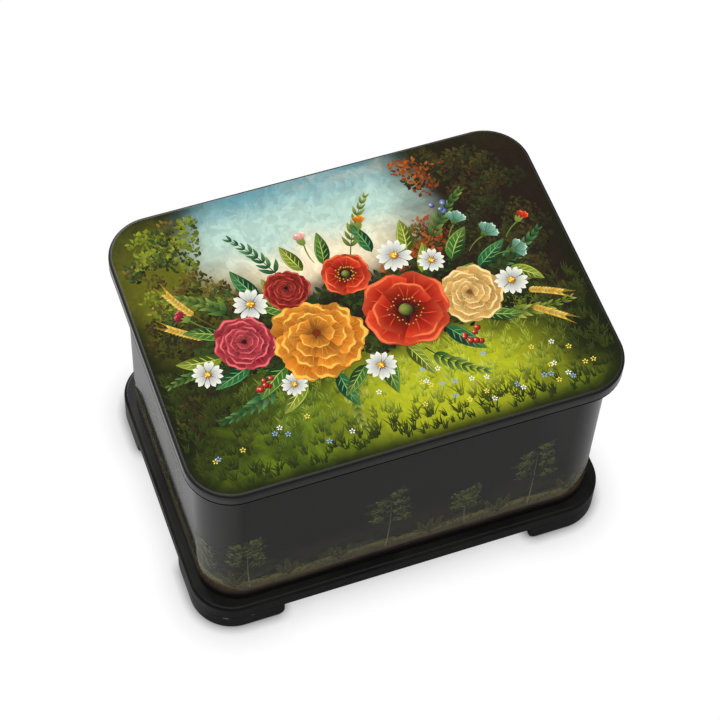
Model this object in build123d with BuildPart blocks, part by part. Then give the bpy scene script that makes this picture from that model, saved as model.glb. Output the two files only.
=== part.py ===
from build123d import *
import os

os.makedirs("parts", exist_ok=True)

# Lid: a board with a rim under its edge and a lining in the hollow
lid_length = 160.0
lid_width = 120.0
lid_corner_radius = 17.0
lid_board_thickness = 2.4
lid_rim_height = 3.8
lid_top_arris = 1.1
lid_lower_arris = 0.8
lid_lining_thickness = 0.8
lid_lining_gap = 0.2

# How the lid sits on the body. It reaches further past the wall behind, over the hinge
lid_overhang = 3.7
lid_back_overhang = 10.2
lid_seat_gap = 0.2
lid_side_clearance = 0.4

# Body: a wound wall, an inner sleeve that stands proud of it, and a floor board
wall_height = 77.3
wall_thickness = 4.5
wall_corner_radius = 15.5
wall_top_arris = 0.4
sleeve_thickness = 1.5
sleeve_rise = 2.6
sleeve_top_arris = 0.45
floor_thickness = 3.0

# Plinth board under the body
plinth_ledge = 3.7
plinth_thickness = 6.6
plinth_corner_radius = 16.0
plinth_top_round = 1.4
plinth_lower_arris = 0.25

# Bracket feet under the plinth's corners
foot_height = 7.2
foot_arm_length = 31.5
foot_strip_width = 8.0
foot_end_round = 3.0
foot_outer_arris = 0.8

# Hinge at the middle of the back
hinge_length = 42.0
hinge_knuckle_count = 5
knuckle_radius = 1.7
knuckle_end_gap = 0.3
pin_radius = 0.9
pin_running_clearance = 0.05
pin_end_chamfer = 0.25
hinge_setback = 1.1
hinge_rise = 1.0
leaf_thickness = 0.7
body_leaf_depth = 9.0
lid_leaf_margin = 0.4
barrel_clearance = 0.4

# Nails that hold the hinge's leaves
nail_pitch = 16.0
nail_count = 3
nail_shank_radius = 0.5
nail_length = 3.2
nail_hole_clearance = 0.05
body_nail_head_radius = 1.15
body_nail_head_height = 0.45
head_round_share = 0.9
lid_nail_head_radius = 0.75
lid_nail_head_depth = 0.35

# Every cut runs past the surface that it opens by this much
cut_overrun = 1.0

# Levels, from the ground up
plinth_bottom = foot_height
plinth_top = plinth_bottom + plinth_thickness
floor_top = plinth_top + floor_thickness
wall_top = plinth_top + wall_height
lid_bottom = wall_top + lid_seat_gap
lid_board_bottom = lid_bottom + lid_rim_height
sleeve_top = wall_top + sleeve_rise

# Outlines, each from the one that it fits
wall_length = lid_length - 2 * lid_overhang
wall_width = lid_width - lid_overhang - lid_back_overhang
body_middle = (lid_overhang - lid_back_overhang) / 2
wall_inner_length = wall_length - 2 * wall_thickness
wall_inner_width = wall_width - 2 * wall_thickness
wall_inner_radius = wall_corner_radius - wall_thickness
sleeve_inner_length = wall_inner_length - 2 * sleeve_thickness
sleeve_inner_width = wall_inner_width - 2 * sleeve_thickness
sleeve_inner_radius = wall_inner_radius - sleeve_thickness
recess_length = wall_inner_length + 2 * lid_side_clearance
recess_width = wall_inner_width + 2 * lid_side_clearance
recess_radius = wall_inner_radius + lid_side_clearance
plinth_length = wall_length + 2 * plinth_ledge
plinth_width = wall_width + 2 * plinth_ledge

# Hinge axis and the room that its barrel needs
wall_back = body_middle + wall_width / 2
hinge_y = wall_back + hinge_setback
hinge_z = wall_top + hinge_rise
barrel_room = knuckle_radius + barrel_clearance
knuckle_length = (hinge_length - (hinge_knuckle_count - 1) * knuckle_end_gap) / hinge_knuckle_count
knuckle_step = knuckle_length + knuckle_end_gap
knuckle_bore = pin_radius + pin_running_clearance
barrel_pocket_length = hinge_length + 2 * barrel_clearance
body_leaf_top = hinge_z - barrel_room
body_leaf_bottom = wall_top - body_leaf_depth
body_leaf_front = wall_back - leaf_thickness
lid_leaf_front = wall_back - wall_thickness + lid_side_clearance + lid_leaf_margin
lid_leaf_back = hinge_y - barrel_room - knuckle_end_gap
lid_leaf_width = lid_leaf_back - lid_leaf_front
lid_nail_y = (lid_leaf_front + lid_leaf_back) / 2
body_nail_z = (body_leaf_top + body_leaf_bottom) / 2

knuckle_centres = [(i - (hinge_knuckle_count - 1) / 2) * knuckle_step for i in range(hinge_knuckle_count)]
body_knuckles = knuckle_centres[0::2]
lid_knuckles = knuckle_centres[1::2]
nail_places = [(i - (nail_count - 1) / 2) * nail_pitch for i in range(nail_count)]


def finish(piece, name):
    """Labels a finished piece and writes it under its name."""
    piece.label = name
    export_step(piece, f"parts/{name}.step")


def on_body(z):
    """A level plane over the body's middle, which lies forward of the lid's."""
    return Plane(origin=(0, body_middle, z), x_dir=(1, 0, 0), z_dir=(0, 0, 1))


def across(x, y, z):
    """A plane at this point whose normal is the hinge's own direction, +X."""
    return Plane(origin=(x, y, z), x_dir=(0, 1, 0), z_dir=(1, 0, 0))


def behind(z, overrun=cut_overrun):
    """A plane at the wall's back face, or this far behind it, that looks into the wall."""
    return Plane(origin=(0, wall_back + overrun, z), x_dir=(1, 0, 0), z_dir=(0, -1, 0))


# Plinth board
with BuildPart() as plinth_board:
    with BuildSketch(on_body(plinth_bottom)):
        RectangleRounded(plinth_length, plinth_width, plinth_corner_radius)
    extrude(amount=plinth_thickness)
    fillet(plinth_board.edges().group_by(Axis.Z)[-1], radius=plinth_top_round)
    fillet(plinth_board.edges().group_by(Axis.Z)[0], radius=plinth_lower_arris)
finish(plinth_board.part, "plinth_board")


# Four bracket feet, each a strip that follows its corner of the plinth
foot_inner_length = plinth_length - 2 * foot_strip_width
foot_inner_width = plinth_width - 2 * foot_strip_width
foot_inner_radius = plinth_corner_radius - foot_strip_width

for side_name, x_side in (("left", -1), ("right", 1)):
    for depth_name, y_side in (("front", -1), ("back", 1)):
        with BuildPart() as foot:
            with BuildSketch(on_body(0)):
                RectangleRounded(plinth_length, plinth_width, plinth_corner_radius)
                RectangleRounded(foot_inner_length, foot_inner_width, foot_inner_radius, mode=Mode.SUBTRACT)
                with Locations((x_side * plinth_length / 2, y_side * plinth_width / 2)):
                    Rectangle(2 * foot_arm_length, 2 * foot_arm_length, mode=Mode.INTERSECT)
            extrude(amount=foot_height)
            ground_edges = foot.edges().group_by(Axis.Z)[0]
            long_arm_end = ground_edges.filter_by(Axis.Y).sort_by(Axis.X)[0 if x_side > 0 else -1]
            side_arm_end = ground_edges.filter_by(Axis.X).sort_by(Axis.Y)[0 if y_side > 0 else -1]
            fillet([long_arm_end, side_arm_end], radius=foot_end_round)
            outer_edges = foot.edges().group_by(Axis.Z)[0].filter_by(Axis.X).sort_by(Axis.Y)
            fillet(outer_edges[-1 if y_side > 0 else 0], radius=foot_outer_arris)
        finish(foot.part, f"{depth_name}_{side_name}_foot")


# Floor board
with BuildPart() as floor_board:
    with BuildSketch(on_body(plinth_top)):
        RectangleRounded(wall_inner_length, wall_inner_width, wall_inner_radius)
    extrude(amount=floor_thickness)
finish(floor_board.part, "floor_board")


# Wall, with a groove for the hinge's barrel and a rebate for its leaf at the back
with BuildPart() as body_wall:
    with BuildSketch(on_body(plinth_top)):
        RectangleRounded(wall_length, wall_width, wall_corner_radius)
        RectangleRounded(wall_inner_length, wall_inner_width, wall_inner_radius, mode=Mode.SUBTRACT)
    extrude(amount=wall_height)
    fillet(body_wall.faces().sort_by(Axis.Z)[-1].outer_wire().edges(), radius=wall_top_arris)
    with BuildSketch(across(-barrel_pocket_length / 2, hinge_y, hinge_z)):
        Circle(barrel_room)
    extrude(amount=barrel_pocket_length, mode=Mode.SUBTRACT)
    with BuildSketch(Plane.XY.offset(body_leaf_bottom)):
        with Locations((0, body_leaf_front + (leaf_thickness + cut_overrun) / 2)):
            Rectangle(hinge_length, leaf_thickness + cut_overrun)
    extrude(amount=body_leaf_depth + cut_overrun, mode=Mode.SUBTRACT)
    with BuildSketch(behind(body_nail_z)):
        with Locations(*[(x, 0) for x in nail_places]):
            Circle(nail_shank_radius + nail_hole_clearance)
    extrude(amount=nail_length + cut_overrun + nail_hole_clearance, mode=Mode.SUBTRACT)
finish(body_wall.part, "body_wall")


# Inner sleeve, whose top edge stands proud of the wall and guides the lid
with BuildPart() as inner_sleeve:
    with BuildSketch(on_body(floor_top)):
        RectangleRounded(wall_inner_length, wall_inner_width, wall_inner_radius)
        RectangleRounded(sleeve_inner_length, sleeve_inner_width, sleeve_inner_radius, mode=Mode.SUBTRACT)
    extrude(amount=sleeve_top - floor_top)
    fillet(inner_sleeve.edges().group_by(Axis.Z)[-1], radius=sleeve_top_arris)
finish(inner_sleeve.part, "inner_sleeve")


# Lid board, the flat top that carries the painting
with BuildPart() as lid_board:
    with BuildSketch(Plane.XY.offset(lid_board_bottom)):
        RectangleRounded(lid_length, lid_width, lid_corner_radius)
    extrude(amount=lid_board_thickness)
    fillet(lid_board.edges().group_by(Axis.Z)[-1], radius=lid_top_arris)
finish(lid_board.part, "lid_board")


# Lid rim, with a notch for the hinge's barrel and a rebate for its leaf
with BuildPart() as lid_rim:
    with BuildSketch(Plane.XY.offset(lid_bottom)):
        RectangleRounded(lid_length, lid_width, lid_corner_radius)
        with Locations((0, body_middle)):
            RectangleRounded(recess_length, recess_width, recess_radius, mode=Mode.SUBTRACT)
    extrude(amount=lid_rim_height)
    fillet(lid_rim.faces().sort_by(Axis.Z)[0].outer_wire().edges(), radius=lid_lower_arris)
    notch_front = hinge_y - barrel_room
    notch_depth = lid_width / 2 + cut_overrun - notch_front
    with BuildSketch(Plane.XY.offset(hinge_z + barrel_room)):
        with Locations((0, notch_front + notch_depth / 2)):
            Rectangle(barrel_pocket_length, notch_depth)
    extrude(amount=-(barrel_room + hinge_rise + cut_overrun), mode=Mode.SUBTRACT)
    rebate_depth = notch_front + cut_overrun - lid_leaf_front
    with BuildSketch(Plane.XY.offset(lid_bottom + leaf_thickness)):
        with Locations((0, lid_leaf_front + rebate_depth / 2)):
            Rectangle(hinge_length, rebate_depth)
    extrude(amount=-(leaf_thickness + cut_overrun), mode=Mode.SUBTRACT)
    with BuildSketch(Plane.XY.offset(lid_bottom)):
        with Locations(*[(x, lid_nail_y) for x in nail_places]):
            Circle(nail_shank_radius + nail_hole_clearance)
    extrude(amount=nail_length + nail_hole_clearance, mode=Mode.SUBTRACT)
finish(lid_rim.part, "lid_rim")


# Lid lining, glued under the board inside the rim
with BuildPart() as lid_lining:
    with BuildSketch(on_body(lid_board_bottom)):
        RectangleRounded(
            recess_length - 2 * lid_lining_gap, recess_width - 2 * lid_lining_gap, recess_radius - lid_lining_gap
        )
    extrude(amount=-lid_lining_thickness)
finish(lid_lining.part, "lid_lining")


# Hinge leaf on the body, with every other knuckle
with BuildPart() as hinge_body_leaf:
    with BuildSketch(Plane.XY.offset(body_leaf_bottom)):
        with Locations((0, body_leaf_front + leaf_thickness / 2)):
            Rectangle(hinge_length, leaf_thickness)
    extrude(amount=body_leaf_top - body_leaf_bottom)
    for centre in body_knuckles:
        with BuildSketch(across(centre - knuckle_length / 2, hinge_y, hinge_z)):
            Circle(knuckle_radius)
            with Locations((-hinge_setback - leaf_thickness / 2, -barrel_room / 2)):
                Rectangle(leaf_thickness, barrel_room)
        extrude(amount=knuckle_length)
    with BuildSketch(across(-hinge_length / 2 - cut_overrun, hinge_y, hinge_z)):
        Circle(knuckle_bore)
    extrude(amount=hinge_length + 2 * cut_overrun, mode=Mode.SUBTRACT)
    with BuildSketch(behind(body_nail_z)):
        with Locations(*[(x, 0) for x in nail_places]):
            Circle(nail_shank_radius + nail_hole_clearance)
    extrude(amount=leaf_thickness + 2 * cut_overrun, mode=Mode.SUBTRACT)
finish(hinge_body_leaf.part, "hinge_body_leaf")


# Hinge leaf on the lid, with the knuckles between
with BuildPart() as hinge_lid_leaf:
    with BuildSketch(Plane.XY.offset(lid_bottom)):
        with Locations((0, lid_leaf_front + lid_leaf_width / 2)):
            Rectangle(hinge_length, lid_leaf_width)
    extrude(amount=leaf_thickness)
    tab_depth = hinge_y - lid_leaf_front
    for centre in lid_knuckles:
        with BuildSketch(Plane.XY.offset(lid_bottom)):
            with Locations((centre, lid_leaf_front + tab_depth / 2)):
                Rectangle(knuckle_length, tab_depth)
        extrude(amount=leaf_thickness)
        with BuildSketch(across(centre - knuckle_length / 2, hinge_y, hinge_z)):
            Circle(knuckle_radius)
        extrude(amount=knuckle_length)
    with BuildSketch(across(-hinge_length / 2 - cut_overrun, hinge_y, hinge_z)):
        Circle(knuckle_bore)
    extrude(amount=hinge_length + 2 * cut_overrun, mode=Mode.SUBTRACT)
    with BuildSketch(Plane.XY.offset(lid_bottom - cut_overrun)):
        with Locations(*[(x, lid_nail_y) for x in nail_places]):
            Circle(nail_shank_radius + nail_hole_clearance)
    extrude(amount=leaf_thickness + 2 * cut_overrun, mode=Mode.SUBTRACT)
    for x in nail_places:
        with BuildSketch(Plane.XY.offset(lid_bottom)):
            with Locations((x, lid_nail_y)):
                Circle(lid_nail_head_radius + nail_hole_clearance)
        with BuildSketch(Plane.XY.offset(lid_bottom + lid_nail_head_depth)):
            with Locations((x, lid_nail_y)):
                Circle(nail_shank_radius + nail_hole_clearance)
        loft(mode=Mode.SUBTRACT)
finish(hinge_lid_leaf.part, "hinge_lid_leaf")


# Hinge pin, through every knuckle
with BuildPart() as hinge_pin:
    with BuildSketch(across(-hinge_length / 2, hinge_y, hinge_z)):
        Circle(pin_radius)
    extrude(amount=hinge_length)
    chamfer(hinge_pin.edges().filter_by(GeomType.CIRCLE), length=pin_end_chamfer)
finish(hinge_pin.part, "hinge_pin")


# Round-headed nails through the body's leaf
with BuildPart() as hinge_body_nails:
    with BuildSketch(behind(body_nail_z, overrun=0)):
        with Locations(*[(x, 0) for x in nail_places]):
            Circle(nail_shank_radius)
    extrude(amount=nail_length)
    with BuildSketch(behind(body_nail_z, overrun=0)):
        with Locations(*[(x, 0) for x in nail_places]):
            Circle(body_nail_head_radius)
    extrude(amount=-body_nail_head_height)
    fillet(hinge_body_nails.edges().group_by(Axis.Y)[-1], radius=body_nail_head_height * head_round_share)
finish(hinge_body_nails.part, "hinge_body_nails")


# Countersunk nails through the lid's leaf
with BuildPart() as hinge_lid_nails:
    for x in nail_places:
        with BuildSketch(Plane.XY.offset(lid_bottom)):
            with Locations((x, lid_nail_y)):
                Circle(lid_nail_head_radius)
        with BuildSketch(Plane.XY.offset(lid_bottom + lid_nail_head_depth)):
            with Locations((x, lid_nail_y)):
                Circle(nail_shank_radius)
        loft()
    with BuildSketch(Plane.XY.offset(lid_bottom + lid_nail_head_depth)):
        with Locations(*[(x, lid_nail_y) for x in nail_places]):
            Circle(nail_shank_radius)
    extrude(amount=nail_length - lid_nail_head_depth)
finish(hinge_lid_nails.part, "hinge_lid_nails")
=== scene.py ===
import math
import random

import bmesh
import bpy
from mathutils import Matrix, Vector


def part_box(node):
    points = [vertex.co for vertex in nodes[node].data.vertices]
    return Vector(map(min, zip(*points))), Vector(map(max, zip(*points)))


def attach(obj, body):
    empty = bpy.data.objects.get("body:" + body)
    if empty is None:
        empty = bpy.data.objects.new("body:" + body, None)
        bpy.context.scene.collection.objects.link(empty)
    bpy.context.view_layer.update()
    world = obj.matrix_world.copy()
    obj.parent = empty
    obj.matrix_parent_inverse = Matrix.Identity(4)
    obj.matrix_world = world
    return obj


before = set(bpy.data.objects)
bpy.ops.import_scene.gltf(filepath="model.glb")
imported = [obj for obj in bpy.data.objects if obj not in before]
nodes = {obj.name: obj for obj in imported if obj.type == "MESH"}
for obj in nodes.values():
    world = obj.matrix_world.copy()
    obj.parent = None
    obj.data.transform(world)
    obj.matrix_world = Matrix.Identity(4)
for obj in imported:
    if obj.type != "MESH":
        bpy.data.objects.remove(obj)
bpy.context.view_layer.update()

MM = 0.001

# The photograph's view
CAMERA_PLACE = Vector((-0.1778, -0.41802, 0.77277))
CAMERA_AIM = Vector((0.00064, 0.00179, 0.0575))
CAMERA_ROLL = math.radians(3.96)
CAMERA_FIELD = math.radians(17.659)
CAMERA_RANGE = 20.0
SENSOR_WIDTH = 36.0

# Studio, with each lamp's place, size and power
FLOOR_SIZE = 6.0
FLOOR_WHITE = 0.46
FLOOR_GLOW = 0.96
GLOW_STRENGTH = 1.03
CONTACT_REACH = 4 * MM
SHADOW_REACH = 13 * MM
SHADOW_LEAN = (-0.68, 0.58, 0.45)
SHADOW_DEPTH = 0.5
WORLD_LIGHT = 0.21
LAMP_AIM = Vector((0, 0, 0.05))
LAMPS = {
    "window": ((-0.1, 1.22, 1.0), 0.6, 21.0),
    "ceiling": ((-0.15, -0.25, 1.9), 1.4, 20.5),
}

# The box, read from the frame
LID_LOW, LID_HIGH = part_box("lid_board")
LID_TOP = LID_HIGH.z
LID_HALF = Vector((LID_HIGH.x, LID_HIGH.y))
LID_CORNER = 17.0 * MM
BLACK_EDGE = 1.1 * MM

WALL_LOW, WALL_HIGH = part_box("body_wall")
WALL_MIDDLE = ((WALL_LOW + WALL_HIGH) / 2).xy
WALL_HALF = ((WALL_HIGH - WALL_LOW) / 2).xy
WALL_CORNER = 15.5 * MM
RIM_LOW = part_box("lid_rim")[0].z
RIM_ARRIS = 0.8 * MM

# Paint lies on the lacquer in flat strokes, each a hair above the one before
FIRST_COAT = 2e-6
COAT_STEP = 1.5e-6
WALL_THIN = 0.6
FLAT_COAT = 0.001 * MM
CORNER_COAT = 0.02 * MM

# The painter's hand, whose small chances come out the same each run
hand = random.Random(27)


def linear(value):
    """One part of a colour, given from 0 to 255, as a shader takes it."""
    share = value / 255
    if value > 10:
        return ((share + 0.055) / 1.055) ** 2.4
    return share / 12.92


def srgb(red, green, blue):
    """A colour given from 0 to 255, as a shader takes it."""
    return tuple(linear(value) for value in (red, green, blue))


def shades(*colours):
    return tuple(srgb(*colour) for colour in colours)


def blend(a, b, share):
    """The colour that lies this share of the way from a to b."""
    return tuple(p + (q - p) * share for p, q in zip(a, b))


def placed(name, data):
    """A new object in the scene, made from its data."""
    made = bpy.data.objects.new(name, data)
    bpy.context.scene.collection.objects.link(made)
    return made


def mesh_data(name, mesh):
    data = bpy.data.meshes.new(name)
    mesh.to_mesh(data)
    mesh.free()
    return data


class Nodes:
    """Short calls for the nodes that a material or the world needs."""

    def __init__(self, tree):
        self.tree = tree

    def node(self, kind, inputs=None, **settings):
        made = self.tree.nodes.new("ShaderNode" + kind)
        for setting, value in settings.items():
            setattr(made, setting, value)
        for socket, value in (inputs or {}).items():
            self.feed(made.inputs[socket], value)
        return made

    def feed(self, socket, value):
        if isinstance(value, bpy.types.NodeSocket):
            self.tree.links.new(value, socket)
        elif isinstance(value, tuple) and socket.type == "RGBA":
            socket.default_value = (*value[:3], 1.0)
        else:
            socket.default_value = value

    def math(self, operation, *values):
        return self.node("Math", dict(enumerate(values)), operation=operation).outputs[0]

    def vector(self, operation, *values):
        return self.node("VectorMath", dict(enumerate(values)), operation=operation).outputs[0]

    def length(self, vector):
        return self.node("VectorMath", {0: vector}, operation="LENGTH").outputs["Value"]

    def parts(self, place):
        return self.node("SeparateXYZ", {0: place}).outputs

    def joined(self, x, y, z):
        return self.node("CombineXYZ", {0: x, 1: y, 2: z}).outputs[0]

    def between(self, value, low, high):
        """0 below low and 1 above high, with a soft step from one to the other."""
        inputs = {"Value": value, "From Min": low, "From Max": high}
        return self.node("MapRange", inputs, interpolation_type="SMOOTHSTEP").outputs[0]

    def scaled(self, value, low, high, to_low, to_high):
        inputs = {"Value": value, "From Min": low, "From Max": high, "To Min": to_low, "To Max": to_high}
        return self.node("MapRange", inputs).outputs[0]

    def mix(self, share, a, b):
        """The colour between a and b."""
        return self.node("Mix", {0: share, 6: a, 7: b}, data_type="RGBA").outputs[2]

    def tinted(self, colour, value, low, high):
        """The colour made darker or lighter as the value goes from 0 to 1."""
        factor = self.scaled(value, 0.0, 1.0, low, high)
        return self.vector("SCALE", colour, (0, 0, 0), (0, 0, 0), factor)

    def turned(self, place, scale, turn=0.0):
        """The place with its pattern drawn out along one axis and turned about the vertical."""
        inputs = {"Vector": place, "Rotation": (0, 0, turn), "Scale": scale}
        return self.node("Mapping", inputs).outputs[0]


class Finish(Nodes):
    """A material with its pattern."""

    def __init__(self, name):
        self.material = bpy.data.materials.new(name)
        self.material.use_nodes = True
        super().__init__(self.material.node_tree)
        self.shader = self.tree.nodes["Principled BSDF"]
        self.place = self.node("TexCoord").outputs["Object"]

    def noise(self, scale, place=None, detail=3.0, roughness=0.55):
        inputs = {"Vector": place or self.place, "Scale": scale, "Detail": detail, "Roughness": roughness}
        return self.node("TexNoise", inputs).outputs

    def set(self, **values):
        for name, value in values.items():
            self.feed(self.shader.inputs[name.replace("_", " ")], value)

    def bump(self, height, distance):
        inputs = {"Height": height, "Distance": distance, "Strength": 1.0}
        self.set(Normal=self.node("Bump", inputs).outputs[0])


LACQUER_BLACK = (0.0085, 0.0075, 0.0065)
LACQUER_WARM = (0.016, 0.012, 0.009)
LACQUER_INDEX = 1.42
RIM_INDEX = 1.58
PLINTH_INDEX = 1.25
# The painted shadow line's span on the rim, in millimetres round and above its rounded lower edge
SHADOW_LINE_SPAN = (-1.2, 0.4)
POLISHED = 0.06
DULL_ARRIS = 0.5
HAND_WAVE = 0.006 * MM
STREAK_SCALE = (1.6, 5.0, 9.0)
SATIN_BLACK = (0.005, 0.005, 0.0048)
SATIN_DUSTY = (0.016, 0.0155, 0.0145)
BARE_BOARD = (0.3, 0.28, 0.25)
CHIP_LEVEL = 6.8 * MM


def polish(finish, rough=POLISHED, index=LACQUER_INDEX):
    """Polished lacquer: gloss that varies a little, faint hairlines and a slow hand-rubbed wave."""
    cloud = finish.noise(55.0, detail=4.0)[0]
    streak = finish.noise(900.0, finish.turned(finish.place, (1.0, 0.06, 0.25), 0.5), detail=2.0)[0]
    cloud_haze = finish.scaled(cloud, 0.35, 0.75, 0.0, 0.05)
    streak_haze = finish.scaled(streak, 0.6, 0.8, 0.0, 0.03)
    haze = finish.math("ADD", cloud_haze, streak_haze)
    finish.set(Roughness=finish.math("ADD", haze, rough), IOR=index)
    slow = finish.noise(38.0, detail=1.0)[0]
    fine = finish.noise(420.0, detail=2.0)[0]
    height = finish.math("ADD", slow, finish.math("MULTIPLY", fine, 0.06))
    finish.bump(height, HAND_WAVE)


def plinth_paint():
    """The plinth's plainer black paint: satin, a little dusty, and chipped along the feet."""
    finish = Finish("satin_black_paint")
    cloud = finish.noise(60.0, detail=5.0)[0]
    dust = finish.noise(700.0, detail=3.0)[0]
    colour = finish.mix(finish.between(cloud, 0.3, 0.75), SATIN_BLACK, SATIN_DUSTY)
    colour = finish.tinted(colour, dust, 0.85, 1.15)
    height = finish.parts(finish.place)[2]
    off_level = finish.math("ABSOLUTE", finish.math("SUBTRACT", height, CHIP_LEVEL))
    level_band = finish.between(off_level, 0.5 * MM, 0.15 * MM)
    chips = finish.noise(330.0, finish.turned(finish.place, (0.4, 0.4, 1.2)), detail=4.0)[0]
    worn = finish.math("MULTIPLY", finish.between(chips, 0.58, 0.63), level_band)
    finish.set(Base_Color=finish.mix(worn, colour, BARE_BOARD), IOR=PLINTH_INDEX)
    finish.set(Roughness=finish.scaled(cloud, 0.3, 0.7, 0.36, 0.5))
    finish.bump(finish.noise(300.0, detail=3.0)[0], 0.01 * MM)
    return finish.material


def rim_lacquer():
    """The rim's plain polished black."""
    finish = Finish("polished_black_lacquer_rim")
    cloud = finish.noise(70.0, detail=5.0)[0]
    finish.set(Base_Color=finish.mix(finish.between(cloud, 0.4, 0.75), LACQUER_BLACK, LACQUER_WARM))
    polish(finish, index=RIM_INDEX)
    return finish.material


GLAZE_HAZE = (0.03, 0.026, 0.013), (0.105, 0.092, 0.05)
GLAZE_OLIVE = (0.14, 0.13, 0.04), (0.30, 0.27, 0.09)
GLAZE_BROWN = (0.08, 0.065, 0.03), (0.19, 0.15, 0.07)
GLAZE_PLUM = (0.05, 0.034, 0.03), (0.12, 0.085, 0.075)
# Each band's top above the wall's foot and its soft upper edge, in millimetres, and its colours
GLAZE_BANDS = ((14.5, 1.3, GLAZE_OLIVE), (12.2, 2.6, GLAZE_BROWN), (8.5, 3.5, GLAZE_PLUM))


def wall_lacquer():
    """Black lacquer with a thin glaze of olive and brown on the walls' lower part."""
    finish = Finish("black_lacquer_with_dim_glaze")
    height = finish.math("SUBTRACT", finish.parts(finish.place)[2], WALL_LOW.z)
    cloud = finish.noise(30.0, finish.turned(finish.place, (1.0, 1.0, 1.6)), detail=5.0)[0]
    lift = finish.math("MULTIPLY", finish.math("SUBTRACT", cloud, 0.5), 26 * MM)
    level = finish.math("ADD", height, lift)
    brush = finish.noise(260.0, finish.turned(finish.place, (0.35, 0.35, 1.5)), detail=4.0)[0]
    haze = finish.math("MULTIPLY", finish.between(level, 34 * MM, 10 * MM), finish.between(cloud, 0.3, 0.55))
    colour = finish.mix(haze, LACQUER_BLACK, finish.mix(brush, *GLAZE_HAZE))
    ground = finish.math("ADD", height, finish.math("MULTIPLY", lift, 0.3))
    for top, soft, tones in GLAZE_BANDS:
        share = finish.between(ground, top * MM, (top - soft) * MM)
        colour = finish.mix(share, colour, finish.mix(brush, *tones))
    # Over the lowest few millimetres the glaze gives way to plain black lacquer, darker towards the wall's
    # foot.
    foot_height = finish.math("ADD", height, finish.math("MULTIPLY", lift, 0.1))
    foot = finish.between(foot_height, 6.5 * MM, 2.5 * MM)
    finish.set(Base_Color=finish.mix(foot, colour, LACQUER_BLACK))
    polish(finish)
    return finish.material


RED_DEEP = srgb(150, 22, 14)
RED_LIGHT = srgb(176, 34, 20)
BRASS = srgb(214, 174, 92)
BRASS_TARNISHED = srgb(150, 112, 58)


def red_lacquer():
    """The inside's red, with the marks of a wide brush."""
    finish = Finish("brushed_red_lacquer")
    streak = finish.noise(140.0, finish.turned(finish.place, (0.15, 1.0, 1.0)), detail=5.0)[0]
    cloud = finish.noise(24.0, detail=3.0)[0]
    colour = finish.mix(finish.between(cloud, 0.3, 0.7), RED_DEEP, RED_LIGHT)
    finish.set(Base_Color=finish.tinted(colour, streak, 0.82, 1.12))
    finish.set(Roughness=finish.scaled(streak, 0.3, 0.7, 0.16, 0.30), IOR=1.5)
    finish.bump(streak, 0.015 * MM)
    return finish.material


def hinge_brass():
    """Drawn brass with a little tarnish."""
    finish = Finish("drawn_brass")
    grain = finish.noise(1500.0, finish.turned(finish.place, (0.03, 1.0, 1.0)), detail=3.0)[0]
    tarnish = finish.noise(160.0, detail=5.0)[0]
    colour = finish.mix(finish.between(tarnish, 0.45, 0.75), BRASS, BRASS_TARNISHED)
    finish.set(Base_Color=finish.tinted(colour, grain, 0.9, 1.08), Metallic=1.0)
    finish.set(Roughness=finish.scaled(grain, 0.3, 0.7, 0.22, 0.42))
    finish.bump(grain, 0.004 * MM)
    return finish.material


def rounded_edge(finish, half, corner):
    """How far a point lies outside a rounded rectangle, negative inside it."""
    x, y = (finish.math("ABSOLUTE", part) for part in finish.parts(finish.place)[:2])
    across = finish.math("SUBTRACT", x, half.x - corner)
    along = finish.math("SUBTRACT", y, half.y - corner)
    outside = finish.joined(finish.math("MAXIMUM", across, 0.0), finish.math("MAXIMUM", along, 0.0), 0.0)
    inside = finish.math("MINIMUM", finish.math("MAXIMUM", across, along), 0.0)
    return finish.math("SUBTRACT", finish.math("ADD", finish.length(outside), inside), corner)


SKY_DEEP = srgb(100, 150, 160)
SKY_BLUE = srgb(172, 200, 188)
SKY_PALE = srgb(242, 222, 184)
SHADE_BROWN = srgb(34, 24, 16)
LEAF_SHADE = srgb(24, 28, 10)
LEAF_DEEP = srgb(52, 58, 16)
MEADOW_DEEP = srgb(58, 74, 16)
MEADOW = srgb(98, 120, 22)
MEADOW_LIGHT = srgb(170, 176, 30)
LEAF_LIT = srgb(92, 92, 22)

# Soft ovals on the lid: the middle and the half size, in shares of half the lid, and the softness
LIT_LEAVES = (-0.8, 0.45), (0.3, 0.4), 0.6
DIM_CORNER = (0.82, 0.4), (0.5, 0.7), 0.5
PALE_GLOW = (-0.1, 0.72), (0.5, 0.56), 0.3
BEHIND_BUNCH = (0.0, -0.1), (0.74, 0.34), 0.4
LIT_GRASS = (0.26, -0.62), (0.5, 0.34), 0.6
SHADE_ON_RIGHT = (1.0, -0.35), (0.4, 0.6), 0.5
SHADE_ON_LEFT = (-1.0, -0.35), (0.3, 0.55), 0.6


def patched(finish, spot, colour, tone, middle, size, soft):
    """The colour with a soft oval of another tone on it."""
    offset = finish.vector("SUBTRACT", spot, (*middle, 0))
    stretched = finish.vector("MULTIPLY", offset, (1 / size[0], 1 / size[1], 0))
    share = finish.between(finish.length(stretched), 1.0 + soft, 1.0 - soft)
    return finish.mix(share, colour, tone)


def sky_colour(finish, place, depth):
    """Pale low down and blue above, with drawn-out clouds."""
    sky = finish.mix(finish.between(depth, 0.2, 0.7), SKY_PALE, SKY_BLUE)
    sky = finish.mix(finish.between(depth, 0.72, 1.0), sky, SKY_DEEP)
    cloud = finish.noise(34.0, finish.turned(place, (0.45, 1.6, 1.0), 0.25), detail=5.0)[0]
    thickness = finish.math("MULTIPLY", finish.between(cloud, 0.5, 0.75), 0.55)
    return finish.mix(thickness, sky, SKY_PALE)


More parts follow.
